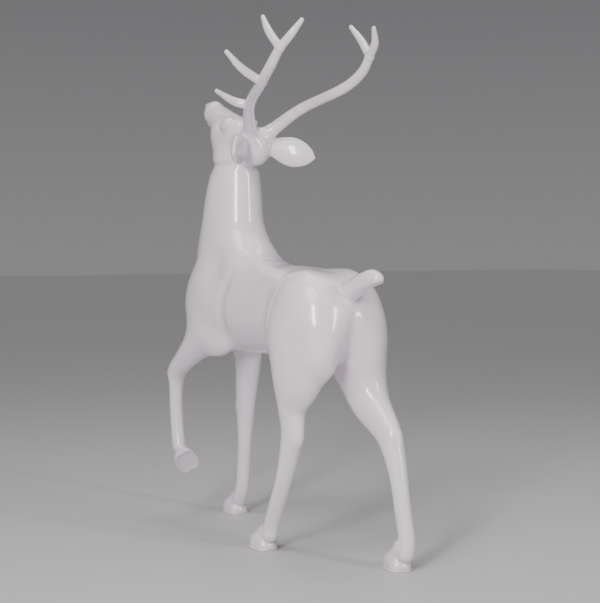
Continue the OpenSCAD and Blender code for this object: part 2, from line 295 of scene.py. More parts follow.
class Chain:
    """Beads of x, y, z, radius and width factor across, in metres, with flesh between them."""

    def __init__(self, beads):
        self.beads = beads
        self.low = (beads[:, :3] - BEAD_ROOM * beads[:, 3:4]).min(0)
        self.high = (beads[:, :3] + BEAD_ROOM * beads[:, 3:4]).max(0)

    def distance(self, points, close=False):
        best = np.full(len(points), FAR_AWAY)
        for a, b in zip(self.beads[:-1], self.beads[1:]):
            bone = b[:3] - a[:3]
            along = np.clip(((points - a[:3]) @ bone) / (bone @ bone), 0, 1)
            away = points - (a[:3] + along[:, None] * bone)
            width = a[4] + along * (b[4] - a[4])
            away[:, 0] /= width
            reach = np.sqrt((away * away).sum(1)) - (a[3] + along * (b[3] - a[3]))
            best = np.minimum(best, reach * np.minimum(width, 1))
        return best


def beads_from(rows, zero, side=1):
    """Beads in metres from hand-written rows in millimetres."""
    path = rounded_path([list(row) + [1.0] * (5 - len(row)) for row in rows])
    path[:, :4] *= MM
    path[:, 0] *= side
    path[:, :3] += zero
    return path


def limb(rows, side=1):
    return Chain(beads_from(rows, ZERO, side))


def small_part(rows):
    """A chain that is given from the part's own middle."""
    return Chain(beads_from(rows, np.zeros(3)))


# %% Muscles
class Ball:
    """An ellipsoid in metres. It leans about the axis that runs across the stag."""

    def __init__(self, centre, radii, lean=0.0):
        self.centre, self.radii = np.array(centre, float), np.array(radii, float)
        c, s = math.cos(math.radians(lean)), math.sin(math.radians(lean))
        self.turn = np.array([[1, 0, 0], [0, c, -s], [0, s, c]])
        room = np.abs(self.turn) @ self.radii
        self.low, self.high = self.centre - room, self.centre + room

    def distance(self, points, close=False):
        local = (points - self.centre) @ self.turn
        near = np.sqrt(((local / self.radii) ** 2).sum(1))
        steep = np.sqrt(((local / self.radii**2) ** 2).sum(1)) + 1e-9
        return near * (near - 1) / steep


def muscle(centre, radii, lean=0.0, side=1):
    return Ball(np.array(centre) * MM * np.array([side, 1, 1]) + ZERO, np.array(radii) * MM, lean)


def small_ball(centre, radii, lean=0.0):
    return Ball(np.array(centre) * MM, np.array(radii) * MM, lean)


class Placed:
    """A form given from its own middle, put in its place. The axes are the columns of a matrix."""

    def __init__(self, form, place, axes, side=1):
        self.form, self.place, self.axes = form, np.array(place), axes
        self.side = np.array([side, 1, 1])
        box = np.array([(x, y, z) for x in (0, 1) for y in (0, 1) for z in (0, 1)])
        corners = (form.low + box * (form.high - form.low)) @ axes.T + self.place
        self.low, self.high = (corners * self.side).min(0), (corners * self.side).max(0)

    def distance(self, points, close=False):
        return self.form.distance((points * self.side - self.place) @ self.axes, close)


# %% [markdown]
# ## Lines drawn on the clay
# A crease or a brow follows the surface, so it is drawn there. Its points are pulled onto the
# form first. A groove is a chain that stands mostly outside and is cut away, and a ridge is one
# that lies mostly inside and is joined. Either fades out where its depth comes to nothing.

# %% Slopes, grooves and ridges
SLOPE_STEP = 0.0006
SHARE_OF_PULL = 0.9
LINE_BEADS, LINE_ROUNDS = 4, 8
FOUR_WAYS = np.array([(1, -1, -1), (-1, -1, 1), (-1, 1, -1), (1, 1, 1)])


def unit_rows(rows):
    return rows / (np.linalg.norm(rows, axis=1)[:, None] + 1e-12)


def slope(form, points, step=SLOPE_STEP):
    """Which way the distance grows, from four points round each point. A longer step is softer."""
    out = np.zeros_like(points)
    for way in FOUR_WAYS:
        out += form.distance(points + way * step, True)[:, None] * way
    return out / (4 * step)


def pull_onto(form, points, rounds=2):
    for _ in range(rounds):
        away = slope(form, points)
        steep = (away * away).sum(1) + 1e-6
        points = points - (form.distance(points, True) / steep)[:, None] * away * SHARE_OF_PULL
    return points


def line_on(form, rows, side, stands_out):
    """Beads on a form. Each row is x, y, z, radius and depth, in millimetres."""
    path = rounded_path(rows, LINE_BEADS)
    places = path[:, :3] * MM * np.array([side, 1, 1]) + ZERO
    places = pull_onto(form, places, LINE_ROUNDS)
    lift = stands_out(path[:, 3], path[:, 4]) * MM
    centres = places + unit_rows(slope(form, places)) * lift[:, None]
    return Chain(np.hstack([centres, path[:, 3:4] * MM, np.ones((len(path), 1))]))


def groove(form, rows, reach, side=1):
    form.cut(line_on(form, rows, side, lambda radius, depth: radius - depth), reach)


def ridge(form, rows, reach, side=1):
    form.add(line_on(form, rows, side, lambda radius, height: height - radius), reach)


# %% [markdown]
# ## Trunk and neck
# The trunk and neck are chains on the centre line. Shoulders and haunches are balls that overlap
# the trunk. They blend with a short reach, so that the shoulder blade and the thigh stand out
# from the ribs as they do on a real stag under its coat.

# %% Trunk and neck
TRUNK = [
    (0, -290, 880, 150, 0.95), (0, -190, 868, 168, 0.95), (0, -30, 866, 172, 0.95),
    (0, 140, 866, 166, 0.96), (0, 290, 866, 160, 1.0), (0, 430, 858, 150, 1.1),
]
WITHERS = [(0, 60, 980, 45, 1.5), (0, -60, 1015, 78, 1.4), (0, -180, 1115, 94, 1.1)]
NECK = [
    (0, -290, 950, 165, 0.75), (0, -272, 1060, 162, 0.72), (0, -250, 1170, 150, 0.74),
    (0, -240, 1280, 134, 0.76), (0, -220, 1400, 104, 0.82), (0, -200, 1450, 90, 0.85),
]
SHOULDER = ((80, -262, 866), (78, 178, 182), -12)
HAUNCH = ((92, 425, 815), (98, 148, 205), 18)
SIDES = (("left", 1), ("right", -1))

flesh = Clay()
flesh.add(limb(TRUNK))
for _, side in SIDES:
    flesh.add(muscle(*SHOULDER, side), 40)
    flesh.add(muscle(*HAUNCH, side), 56)
flesh.add(limb(WITHERS), 60)
flesh.add(limb(NECK), 36)
print("trunk and neck:", len(flesh.steps), "masses")

# %% [markdown]
# ## Legs
# Each leg is one long chain from the muscle down to the pastern. The left foreleg is lifted, and
# the hind legs stand one behind the other, so every leg has its own rows. Elbow, knee and hock
# get a small ball each, because there the bone lies just under the skin.

# %% Legs
FRONT_LEFT = [
    (95, -285, 770, 80, 0.8), (108, -330, 720, 65, 0.85), (118, -420, 650, 45), (120, -485, 600, 40),
    (120, -500, 540, 30), (120, -500, 450, 27), (120, -490, 350, 27), (124, -468, 290, 28),
]
FRONT_RIGHT = [
    (-95, -300, 760, 85, 0.8), (-105, -310, 640, 60, 0.85), (-110, -330, 520, 44),
    (-110, -337, 440, 38), (-110, -345, 300, 28), (-112, -365, 130, 27), (-112, -393, 60, 29),
]
HIND_LEFT = [
    (115, 365, 770, 100, 0.8), (122, 384, 650, 86, 0.8), (122, 375, 540, 56, 0.85),
    (120, 372, 440, 46, 0.8), (118, 325, 300, 31), (115, 265, 180, 29), (113, 225, 100, 29),
    (113, 212, 60, 30),
]
HIND_RIGHT = [
    (-115, 430, 770, 110, 0.8), (-118, 455, 660, 95, 0.85), (-118, 504, 560, 76, 0.85),
    (-120, 610, 455, 52, 0.8), (-120, 662, 340, 33), (-120, 690, 220, 29), (-120, 714, 110, 29),
    (-116, 712, 60, 30),
]
for rows in (FRONT_LEFT, FRONT_RIGHT, HIND_LEFT, HIND_RIGHT):
    flesh.add(limb(rows), 46)
ELBOW = ((106, -200, 742), (42, 112, 64), -6)
LIFTED_KNEE, STANDING_KNEE = ((120, -512, 588), (30, 26, 34)), ((-110, -356, 455), (30, 26, 44))
THIGH_FILL = ((112, 428, 636), (46, 56, 84))
LEFT_HOCK, RIGHT_HOCK = ((119, 398, 438), (20, 26, 40)), ((-120, 636, 446), (22, 30, 38))
for joint, reach in (
    (ELBOW, 40), (LIFTED_KNEE, 16), (STANDING_KNEE, 18), (THIGH_FILL, 44), (LEFT_HOCK, 18), (RIGHT_HOCK, 20),
):
    flesh.add(muscle(*joint), reach)
print("with legs:", len(flesh.steps), "masses")

# %% [markdown]
# ## Hooves
# A stag's hoof is a rounded cup of two claws. The pastern stands in it like an egg in an eggcup:
# level with the front wall, and with a deep crease at the heel. The cup is built once, from its
# own middle, and put under each leg. Where each foot stands and how it is turned is read from
# its sole pad: a pad is thinnest along the foot's upright and longest from toe to heel.


# %% Where each foot stands
FEET = ("front_left", "front_right", "hind_left", "hind_right")
HOOF_BEHIND_PAD = 0.0045  # how far the hoof's middle lies behind the middle of its pad


def foot_frame(node):
    points = np.array([v.co for v in frame["nodes"][node].data.vertices])
    long_way, _, flat_way = np.linalg.svd(points - points.mean(0), full_matrices=False)[2]
    up = flat_way if flat_way[2] > 0 else -flat_way
    heel = long_way if long_way[1] > 0 else -long_way
    axes = np.stack([np.cross(heel, up), heel, up], 1)
    local = points @ axes
    centre = (local.min(0) + local.max(0)) / 2
    toe_to_heel = local[:, 1].max() - local[:, 1].min()
    centre[1] += HOOF_BEHIND_PAD
    centre[2] = local[:, 2].min()
    print(node, "up", up.round(3), "heel", heel.round(3), "length", round(toe_to_heel, 4))
    return axes @ centre, axes


foot_frames = {foot: foot_frame(f"sole_{foot}") for foot in FEET}

# %% The cup of a hoof
hoof = Clay()
hoof.add(small_ball((0, -16, 20), (43, 45, 45)))
hoof.add(small_ball((0, 20, 14), (40, 33, 34)), 14)
hoof.add(small_part([(0, -16, 34, 34), (0, 8, 60, 29), (0, 25, 88, 23)]), 14)
hoof.cut(small_part([(0, -66, 0, 7), (0, -62, 26, 5), (0, -50, 52, 2)]), 6)
for foot in FEET:
    flesh.add(Placed(hoof, *foot_frames[foot]), 3)
print("with hooves:", len(flesh.steps), "masses")

# %% [markdown]
# ## Head
# The stag looks up, so the head's chain climbs forward from the poll to the muzzle. The antlers
# grow out of two thick cones that run into the skull. The cheek overhangs the neck with a crease.

# %% Skull, jaw and muzzle
HEAD = [
    (0, -95, 1476, 76, 0.9), (0, -190, 1515, 80, 0.88), (0, -280, 1562, 68, 0.8),
    (0, -355, 1608, 53, 0.82), (0, -388, 1630, 49, 0.85),
]
JAW = [(0, -225, 1452, 92, 0.88), (0, -285, 1528, 75, 0.85)]
JAW_CREASE = [
    (0, -330, 1420, 16, 3), (40, -300, 1412, 16, 6), (75, -225, 1408, 16, 7),
    (85, -150, 1408, 16, 5), (66, -100, 1412, 16, 2), (0, -88, 1420, 16, 0),
]
ANTLER_CONE = [(22, -96, 1488, 46), (34, -66, 1512, 34), (48, -35, 1538, 25.5)]

flesh.add(limb(HEAD), 14)
flesh.add(limb(JAW), 24)
for _, side in SIDES:
    flesh.add(limb(ANTLER_CONE, side), 30)
for _, side in SIDES:
    groove(flesh, JAW_CREASE, 14, side)
print("with head:", len(flesh.steps), "masses")

# %% [markdown]
# ## Face
# The face is calm and simplified, as in the clay original: a long brow that shades a closed oval
# of an eye, a straight bridge with an edge along each side, nostrils, and a short line of a mouth.

# %% Brow, eye, bridge, nostrils and mouth
BROW = [(44, -268, 1606, 12, 0), (54, -232, 1612, 14, 6), (58, -184, 1606, 15, 8), (60, -128, 1584, 14, 3)]
EYE = ((52, -198, 1566), (24, 42, 25), 24)
LID = [(56, -246, 1566, 4, 0.4), (70, -216, 1572, 4, 2.6), (74, -184, 1566, 4, 2.4), (72, -160, 1556, 4, 0.4)]
EYE_CORNER = [
    (50, -252, 1580, 8, 1), (52, -258, 1564, 8, 4), (56, -240, 1546, 8, 3.5), (62, -205, 1536, 8, 1),
]
BRIDGE = [(30, -350, 1668, 8, 0.5), (40, -290, 1640, 9, 3), (42, -240, 1626, 9, 3.5), (44, -180, 1612, 7, 1)]
NOSTRIL = [(16, -424, 1662, 5, 2), (24, -418, 1650, 7, 5), (30, -404, 1650, 5, 1)]
MOUTH = [(0, -432, 1608, 4, 3), (24, -414, 1598, 4, 3), (38, -370, 1584, 4, 2.6), (44, -330, 1572, 4, 0.5)]
CHIN, NOSE = ((0, -398, 1592), (24, 22, 17), 30), ((0, -420, 1662), (24, 14, 14), 40)

for _, side in SIDES:
    ridge(flesh, BROW, 8, side)
    flesh.add(muscle(*EYE, side), 4)
    for line, reach in ((LID, 2), (EYE_CORNER, 5), (BRIDGE, 8), (NOSTRIL, 4), (MOUTH, 3)):
        groove(flesh, line, reach, side)
flesh.add(muscle(*CHIN), 10)
flesh.add(muscle(*NOSE), 12)
print("with face:", len(flesh.steps), "masses")

# %% [markdown]
# ## Creases of the body
# The thigh overlaps the flank with a fine crease. The shoulder blade's rear edge is softer. A
# broad hollow parts the haunches under the tail.

# %% Thigh, shoulder, neck, withers and rump
THIGH_CREASE = [
    (110, 385, 1010, 12, 0), (145, 362, 965, 13, 3), (165, 335, 915, 13, 4),
    (168, 308, 850, 13, 5), (162, 300, 780, 13, 4), (148, 285, 715, 12, 1),
]
SHOULDER_HOLLOW = [
    (100, 45, 1050, 50, -5), (130, -38, 1000, 52, -2), (150, -58, 940, 52, 1),
    (158, -62, 880, 52, 2), (154, -62, 820, 50, 1), (138, -55, 760, 50, -5),
]
NECK_CREASE = [
    (40, -425, 1012, 24, 1), (85, -380, 1038, 24, 4), (108, -340, 1066, 20, 1),
    (114, -315, 1082, 16, -1),
]
WITHERS_CREASE = [(55, 20, 1075, 14, -2), (30, 45, 1072, 14, 0.5), (0, 62, 1068, 14, 1)]
RUMP_HOLLOW = [(0, 585, 870, 30, 0), (0, 582, 830, 34, 3), (0, 570, 770, 34, 8), (0, 545, 700, 26, 5)]

for _, side in SIDES:
    for line, reach in ((THIGH_CREASE, 9), (SHOULDER_HOLLOW, 20), (NECK_CREASE, 8), (WITHERS_CREASE, 8)):
        groove(flesh, line, reach, side)
groove(flesh, RUMP_HOLLOW, 14)
print("with creases:", len(flesh.steps), "masses")

# %% [markdown]
# ## Ears and tail
# An ear is a leaf on edge, hollowed on its front side and left thick and round at the rim. It is
# drawn from its own root along its own axis. The tail is a short upturned scoop. Both are blended
# into the body here and cut off as their own mouldings later.

# %% An ear
EAR_ROOT = np.array([60, -60, 1480]) * MM + ZERO
EAR_AXIS = np.array([115, 122, -46]) / np.linalg.norm([115, 122, -46])
EAR_FRONT = np.array([0.728, -0.686, 0.0])  # made square to the axis below
EAR_FRONT = EAR_FRONT - EAR_FRONT @ EAR_AXIS * EAR_AXIS
EAR_FRONT /= np.linalg.norm(EAR_FRONT)
EAR_AXES = np.stack([EAR_FRONT, np.cross(EAR_AXIS, EAR_FRONT), EAR_AXIS], 1)
EAR_LEAF = [
    (0, 0, -20, 28, 0.8), (0, 0, 5, 26, 0.75), (0, 0, 45, 45, 0.5), (0, 0, 90, 55, 0.4),
    (0, 0, 130, 41, 0.4), (0, 0, 160, 18, 0.5), (0, 0, 174, 7, 0.8),
]
EAR_HOLLOW = [
    (24, 0, 28, 10, 0.9), (24, 0, 60, 31, 0.7), (25, 0, 92, 42, 0.6), (23, 0, 128, 29, 0.6),
    (20, 0, 152, 8, 0.9),
]

ear = Clay()
ear.add(small_part(EAR_LEAF))
ear.cut(small_part(EAR_HOLLOW), 5)
for _, side in SIDES:
    flesh.add(Placed(ear, EAR_ROOT, EAR_AXES, side), 14)

# %% The tail
TAIL = [
    (0, 530, 930, 38, 0.95), (0, 575, 955, 35, 0.95), (0, 625, 978, 33, 0.92),
    (0, 675, 992, 31, 0.92), (0, 704, 990, 25, 0.92),
]
TAIL_SCOOP = [(0, 640, 930, 16), (0, 690, 946, 24), (0, 740, 962, 22)]
tail = Clay()
tail.add(limb(TAIL))
tail.cut(limb(TAIL_SCOOP), 8)
flesh.add(tail, 9)
print("with ears and tail:", len(flesh.steps), "masses")

# %% [markdown]
# ## Antlers
# The beam is a long chain and each tine a short one, joined with a web in the fork as horn grows
# it. They are added to the same clay as the head, so that the seam between a cone and its antler
# lies in one smooth surface. The right antler is the left one mirrored.

# %% Beam and tines
BEAM = [
    (48, -35, 1538, 25), (113, 75, 1614, 20), (173, 258, 1673, 19), (191, 349, 1721, 18),
    (189, 403, 1773, 16),
]
TINES = [
    [(113, 75, 1614, 17), (160, 42, 1628, 15.5), (229, 37, 1661, 8)],
    [(173, 258, 1673, 16), (245, 242, 1718, 14.5), (299, 232, 1771, 8)],
    [(189, 403, 1773, 15), (196, 344, 1835, 14), (187, 290, 1893, 8)],
    [(189, 403, 1773, 15), (175, 452, 1812, 14), (150, 480, 1858, 8)],
]
for _, side in SIDES:
    antler = Clay()
    antler.add(limb(BEAM, side))
    for tine in TINES:
        antler.add(limb(tine, side), 7)
    flesh.add(antler, 6)
print("clay finished:", len(flesh.steps), "masses")

# %% [markdown]
# ## Skin
# The skin is found on a grid of small cells. Large cells far from the surface are dropped first,
# and the rest are split until they are fine. Each cell that the surface passes through gives one
# point, neighbouring points make quads, and every point is then pulled exactly onto the form.
# The form's own slope gives the normals, so that gloss runs over the skin without facets.

# %% Cells near the surface
CORNERS = np.array([(x, y, z) for z in (0, 1) for y in (0, 1) for x in (0, 1)])
EDGES = [(a, b) for a in range(8) for b in range(a + 1, 8) if np.abs(CORNERS[a] - CORNERS[b]).sum() == 1]
COARSE = 8  # cells across the first large ones
CELL_REACH = 2.2  # a cell is kept if its middle is this many cells from the surface, or nearer
MARGIN = 0.03


def fine_cells(form, start, counts, cell):
    """Cells near the surface, found from coarse to fine."""
    size = COARSE
    rows = [np.arange(-(-n // size) + 1) for n in counts]
    cells = np.stack(np.meshgrid(*rows, indexing="ij"), -1).reshape(-1, 3)
    while size > 1:
        centres = start + (cells * size + size / 2) * cell
        cells = cells[np.abs(form.distance(centres)) < CELL_REACH * size * cell]
        size //= 2
        cells = (cells[:, None] * 2 + CORNERS[None]).reshape(-1, 3)
    return cells[(cells < counts).all(1)]


# %% Points and quads
def crossing_points(values, inside):
    """Where the surface crosses each cell's edges, as the mean of the crossings."""
    total, hits = np.zeros((len(values), 3)), np.zeros(len(values))
    for a, b in EDGES:
        crossed = inside[:, a] != inside[:, b]
        share = np.where(crossed, values[:, a] / (values[:, a] - values[:, b] + 1e-12), 0)
        point = CORNERS[a] + share[:, None] * (CORNERS[b] - CORNERS[a])
        total += np.where(crossed[:, None], point, 0)
        hits += crossed
    return total / hits[:, None]


def quads_between(cells, inside, number):
    quads = []
    for axis, corner in enumerate((1, 2, 4)):
        u, w = np.eye(3, dtype=int)[(axis + 1) % 3], np.eye(3, dtype=int)[(axis + 2) % 3]
        crossed = inside[:, 0] != inside[:, corner]
        base, starts_inside = cells[crossed], inside[crossed, 0]
        quad = np.stack([number[tuple(c.T)] for c in (base, base - u, base - u - w, base - w)], 1)
        whole = (quad >= 0).all(1)
        quad, starts_inside = quad[whole], starts_inside[whole]
        quad[~starts_inside] = quad[~starts_inside][:, ::-1]
        quads.append(quad)
    return np.vstack(quads)


def skin(form, cell, low_corner=None, high_corner=None):
    """Points and quads round a form, between two corners."""
    start = form.low - MARGIN if low_corner is None else np.maximum(form.low - MARGIN, low_corner)
    end = form.high + MARGIN if high_corner is None else np.minimum(form.high + MARGIN, high_corner)
    counts = np.ceil((end - start) / cell).astype(int) + 1
    near = fine_cells(form, start, counts, cell)
    field = np.full(counts + 2, np.nan, np.float32)
    field[tuple(near.T)] = form.distance(start + near * cell, True)
    values = np.stack([field[tuple((near + c).T)] for c in CORNERS], 1)
    inside = values < 0
    used = ~np.isnan(values).any(1) & inside.any(1) & ~inside.all(1)
    cells, values, inside = near[used], values[used], inside[used]
    number = np.full(field.shape, -1, int)
    number[tuple(cells.T)] = np.arange(len(cells))
    points = start + (cells + crossing_points(values, inside)) * cell
    return pull_onto(form, points), quads_between(cells, inside, number)


# %% [markdown]
# ## White lacquer
# The mouldings are white gel coat under clear lacquer. The base is a pale white that drifts a
# little over a hand's breadth, the roughness drifts too where it was polished by hand, and the
# bump carries the faint ripple of sprayed lacquer. The clear coat on top is what shines.


# %% Material helpers
def new_material(name):
    material = bpy.data.materials.new(name)
    material.use_nodes = True
    tree = material.node_tree
    return material, tree, tree.nodes["Principled BSDF"]


def noise(tree, scale, detail=2.0, stretch=None):
    place = tree.nodes.new("ShaderNodeTexCoord").outputs["Object"]
    if stretch:
        mapping = tree.nodes.new("ShaderNodeMapping")
        mapping.inputs["Scale"].default_value = stretch
        tree.links.new(place, mapping.inputs["Vector"])
        place = mapping.outputs["Vector"]
    node = tree.nodes.new("ShaderNodeTexNoise")
    node.inputs["Scale"].default_value = scale
    node.inputs["Detail"].default_value = detail
    tree.links.new(place, node.inputs["Vector"])
    return node.outputs["Fac"]


def colour_ramp(tree, source, low_colour, high_colour, start=0.35, end=0.65):
    node = tree.nodes.new("ShaderNodeValToRGB")
    node.color_ramp.elements[0].position, node.color_ramp.elements[1].position = start, end
    node.color_ramp.elements[0].color = (*low_colour, 1)
    node.color_ramp.elements[1].color = (*high_colour, 1)
    tree.links.new(source, node.inputs["Fac"])
    return node.outputs["Color"]


def between(tree, source, low_value, high_value):
    node = tree.nodes.new("ShaderNodeMapRange")
    node.inputs["To Min"].default_value = low_value
    node.inputs["To Max"].default_value = high_value
    tree.links.new(source, node.inputs["Value"])
    return node.outputs["Result"]


def bumpy(tree, surface, source, height, strength):
    node = tree.nodes.new("ShaderNodeBump")
    node.inputs["Strength"].default_value = strength
    node.inputs["Distance"].default_value = height
    tree.links.new(source, node.inputs["Height"])
    tree.links.new(node.outputs["Normal"], surface.inputs["Normal"])


# %% Lacquers and pads
def lacquer(name, pale, deep, rough, ripple, coat=0.7):
    material, tree, surface = new_material(name)
    tree.links.new(colour_ramp(tree, noise(tree, 5.0, 3.0), deep, pale), surface.inputs["Base Color"])
    polish = between(tree, noise(tree, 9.0, 2.0), rough - 0.05, rough + 0.05)
    tree.links.new(polish, surface.inputs["Roughness"])
    surface.inputs["Coat Weight"].default_value = coat
    surface.inputs["Coat Roughness"].default_value = 0.05
    surface.inputs["IOR"].default_value = 1.5
    bumpy(tree, surface, noise(tree, 22.0), 0.0008, ripple)
    return material


body_lacquer = lacquer("body_lacquer", (0.77, 0.69, 0.745), (0.72, 0.64, 0.695), 0.24, 0.06)
antler_lacquer = lacquer("antler_lacquer", (0.78, 0.70, 0.755), (0.73, 0.65, 0.705), 0.24, 0.04)
hoof_lacquer = lacquer("hoof_lacquer", (0.73, 0.65, 0.705), (0.65, 0.575, 0.625), 0.30, 0.16)
sole_satin = lacquer("sole_satin", (0.70, 0.62, 0.675), (0.62, 0.545, 0.595), 0.5, 0.3, coat=0.0)

# %% [markdown]
# ## Inside finishes
# What a buyer only sees with an antler off or a seam open still gets its own finish: brushed
# steel bar, pale zinc on the fasteners, birch plywood with its grain, and raw glass mat.


# %% Steel, zinc, plywood and glass mat
def brushed(name, deep, pale, rough):
    material, tree, surface = new_material(name)
    strokes = noise(tree, 30.0, 4.0, (12, 12, 0.6))
    tree.links.new(colour_ramp(tree, strokes, deep, pale), surface.inputs["Base Color"])
    tree.links.new(between(tree, strokes, rough - 0.08, rough + 0.08), surface.inputs["Roughness"])
    surface.inputs["Metallic"].default_value = 1.0
    bumpy(tree, surface, strokes, 0.0002, 0.4)
    return material


def birch_plywood():
    material, tree, surface = new_material("birch_plywood")
    grain = noise(tree, 14.0, 5.0, (1.2, 14, 6))
    colour = colour_ramp(tree, grain, (0.42, 0.28, 0.15), (0.62, 0.46, 0.28))
    tree.links.new(colour, surface.inputs["Base Color"])
    surface.inputs["Roughness"].default_value = 0.65
    bumpy(tree, surface, grain, 0.0006, 0.5)
    return material


def glass_mat():
    material, tree, surface = new_material("glass_mat")
    strands = noise(tree, 90.0, 6.0, (1, 3, 1))
    colour = colour_ramp(tree, strands, (0.50, 0.47, 0.36), (0.66, 0.63, 0.52))
    tree.links.new(colour, surface.inputs["Base Color"])
    surface.inputs["Roughness"].default_value = 0.6
    bumpy(tree, surface, strands, 0.0010, 0.6)
    return material


raw_laminate = glass_mat()
inside_finish = {
    "bare_steel": brushed("brushed_steel", (0.36, 0.37, 0.39), (0.55, 0.56, 0.58), 0.36),
    "zinc_steel": brushed("zinc_plate", (0.52, 0.53, 0.52), (0.70, 0.70, 0.68), 0.30),
    "plywood": birch_plywood(),
    "raw_laminate": raw_laminate,
}

# %% [markdown]
# ## From skin to mouldings
# The skin is cut along the seams with exact planes. Each moulding then gets a second skin inside,
# a wall's thickness in, and a flat rim that joins the two along every cut. Blender's Solidify
# could thicken it, but it would lean the rims, and two halves of a mould have to meet flat.


# %% Cutting
CUT_LIMIT = 1e-7


def mesh_from(points, faces):
    mesh = bmesh.new()
    verts = [mesh.verts.new(p) for p in points]
    for face in faces:
        mesh.faces.new([verts[i] for i in face])
    return mesh


def points_and_faces(mesh):
    bmesh.ops.delete(mesh, geom=[v for v in mesh.verts if not v.link_faces], context="VERTS")
    mesh.verts.index_update()
    points = np.array([v.co for v in mesh.verts]).reshape(-1, 3)
    faces = [[v.index for v in f.verts] for f in mesh.faces]
    mesh.free()
    return points, faces


def cut_by(points, faces, planes):
    """Keeps what lies on the side that each plane's normal points away from."""
    mesh = mesh_from(points, faces)
    for place, normal in planes:
        bmesh.ops.bisect_plane(
            mesh, geom=mesh.verts[:] + mesh.edges[:] + mesh.faces[:], dist=CUT_LIMIT,
            plane_co=Vector(place), plane_no=Vector(normal), clear_outer=True,
        )
    return points_and_faces(mesh)


def cut_near(points, faces, centre, radius, plane, keep_beyond):
    """Cuts by a plane near one place only. Keeps either what is beyond it there, or all the rest."""
    mesh = mesh_from(points, faces)
    place, normal = Vector(plane[0]), Vector(plane[1])
    centre = Vector(centre)

    def close_faces():
        return [f for f in mesh.faces if (f.calc_center_median() - centre).length < radius]

    near = close_faces()
    around = set(near) | {e for f in near for e in f.edges} | {v for f in near for v in f.verts}
    bmesh.ops.bisect_plane(mesh, geom=list(around), dist=CUT_LIMIT, plane_co=place, plane_no=normal)
    beyond = [f for f in close_faces() if (f.calc_center_median() - place).dot(normal) > 0]
    gone = set(mesh.faces) - set(beyond) if keep_beyond else beyond
    bmesh.ops.delete(mesh, geom=list(gone), context="FACES")
    return points_and_faces(mesh)


# %% Thickening
WALL = 0.005
ON_CUT = 2e-5  # a point this near to a plane lies on it
# How far apart the slopes for the normals are measured: short where there is detail, and long on
# the big masses below the head, where gloss has to run without a ripple.
DETAIL_STEP, MASS_STEP = 0.0025, 0.008


def open_edges(faces):
    """Edges with a face on one side only, in that face's direction."""
    seen = {}
    for face in faces:
        for a, b in zip(face, list(face[1:]) + [face[0]]):
            seen[(a, b)] = True
    return [(a, b) for a, b in seen if (b, a) not in seen]


def ways_in(points, normals, planes):
    """The way in from each point. On a cut it stays in the plane of the cut."""
    inward = -normals * WALL
    for place, normal in planes:
        n = np.array(normal, float) / np.linalg.norm(normal)
        on_cut = np.abs((points - np.array(place)) @ n) < ON_CUT
        inward[on_cut] -= (inward[on_cut] @ n)[:, None] * n
    return inward


def moulding(name, form, points, faces, planes, outside, body, node, step=DETAIL_STEP):
    """Thickens a skin into one moulding, with an exact outside and a raw inside."""
    normals = unit_rows(slope(form, points, step))
    inner = points + ways_in(points, normals, planes)
    count = len(points)
    rims = [(b, a, a + count, b + count) for a, b in open_edges(faces)]
    inside = [[i + count for i in reversed(f)] for f in faces]
    mesh = bpy.data.meshes.new(name)
    mesh.from_pydata(np.vstack([points, inner]).tolist(), [], list(faces) + inside + rims)
    mesh.materials.append(outside)
    mesh.materials.append(raw_laminate)
    mesh.polygons.foreach_set("material_index", [0] * len(faces) + [1] * len(inside) + [0] * len(rims))
    corner_points = np.zeros(len(mesh.loops), int)
    mesh.loops.foreach_get("vertex_index", corner_points)
    corner_normals = np.vstack([normals, -normals])[corner_points]
    for face in mesh.polygons[len(faces) + len(inside) :]:
        corner_normals[list(face.loop_indices)] = face.normal
    return finished_piece(name, mesh, corner_normals, body, node)


def finished_piece(name, mesh, corner_normals, body, node):
    mesh.polygons.foreach_set("use_smooth", np.ones(len(mesh.polygons), bool))
    mesh.normals_split_custom_set(corner_normals.tolist())
    piece = bpy.data.objects.new(name, mesh)
    bpy.context.scene.collection.objects.link(piece)
    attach(piece, body)
    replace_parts(piece, node)
    print(name, len(mesh.polygons), "faces")
    return piece


# %% [markdown]
# ## Trunk, neck and legs
# One skin covers everything below the head. The seams lie where the real mouldings part: down
# the middle, round the base of the neck, round the throat, and at the top of each leg.

# %% Planes of the seams
UP, DOWN = (0, 0, 1), (0, 0, -1)
BEHIND, AHEAD = (0, 1, 0), (0, -1, 0)
WAIST = ZERO + np.array([0, 106, 0]) * MM


def level(height, way):
    return ((0, 0, height), way)


def half(side):
    """Keeps the half of the stag on that side."""
    return ((0, 0, 0), (-side, 0, 0))


def hoof_seam(foot, above):
    """Keeps the leg above the seam, or the hoof below it."""
    place, axes = foot_frames[foot]
    return (place + axes[:, 2] * HOOF_TOP, -axes[:, 2] if above else axes[:, 2])


# %% Skin below the head
BODY_CELL, FINE_CELL = ((0.006, 0.003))
PASTERN, PAST_SEAM = 0.045, 0.03
body_low = np.array([-FAR_AWAY, -FAR_AWAY, PASTERN])
body_high = np.array([FAR_AWAY, FAR_AWAY, HEAD_SEAM + PAST_SEAM])
body_points, body_quads = skin(flesh, BODY_CELL, body_low, body_high)
print("body skin", len(body_points), "points")

# %% Trunk mouldings
TAIL_CUT = (np.array([0, 622, 975]) * MM + ZERO, np.array([0, 0.94, 0.34]))
TAIL_MIDDLE = np.array([0, 680, 990]) * MM + ZERO
TAIL_REACH = 0.095
SAME_POINT = 1e-5
body_without_tail = cut_near(body_points, body_quads, TAIL_MIDDLE, TAIL_REACH, TAIL_CUT, False)


